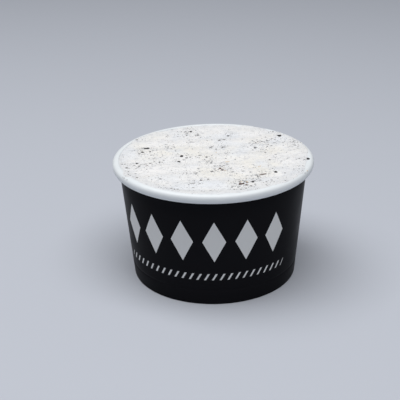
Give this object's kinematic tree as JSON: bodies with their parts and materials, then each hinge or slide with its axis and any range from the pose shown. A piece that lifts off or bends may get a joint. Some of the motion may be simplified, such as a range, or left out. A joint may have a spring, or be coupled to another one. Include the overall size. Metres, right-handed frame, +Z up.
{
  "type": "gelato cup",
  "caption": "Round black paper cup with a white rolled rim, filled level to the brim with pale gelato that holds dark flakes.",
  "frame": {"origin": "centre of the circle that the cup stands on", "axes": "+Z up along the cup's axis; -Y is the cup's front, and its side seam stands at the back"},
  "size_m": [0.0926, 0.0926, 0.0567],
  "materials": {
    "black_board": "satin, black print on coated white board",
    "white_board": "satin, coated white board",
    "gelato": "matt, frozen and levelled with a knife, with dark flakes in it"
  },
  "bodies": {
    "root": {"cup_sleeve": "black_board", "cup_bottom": "white_board", "gelato": "gelato"}
  },
  "joints": []
}
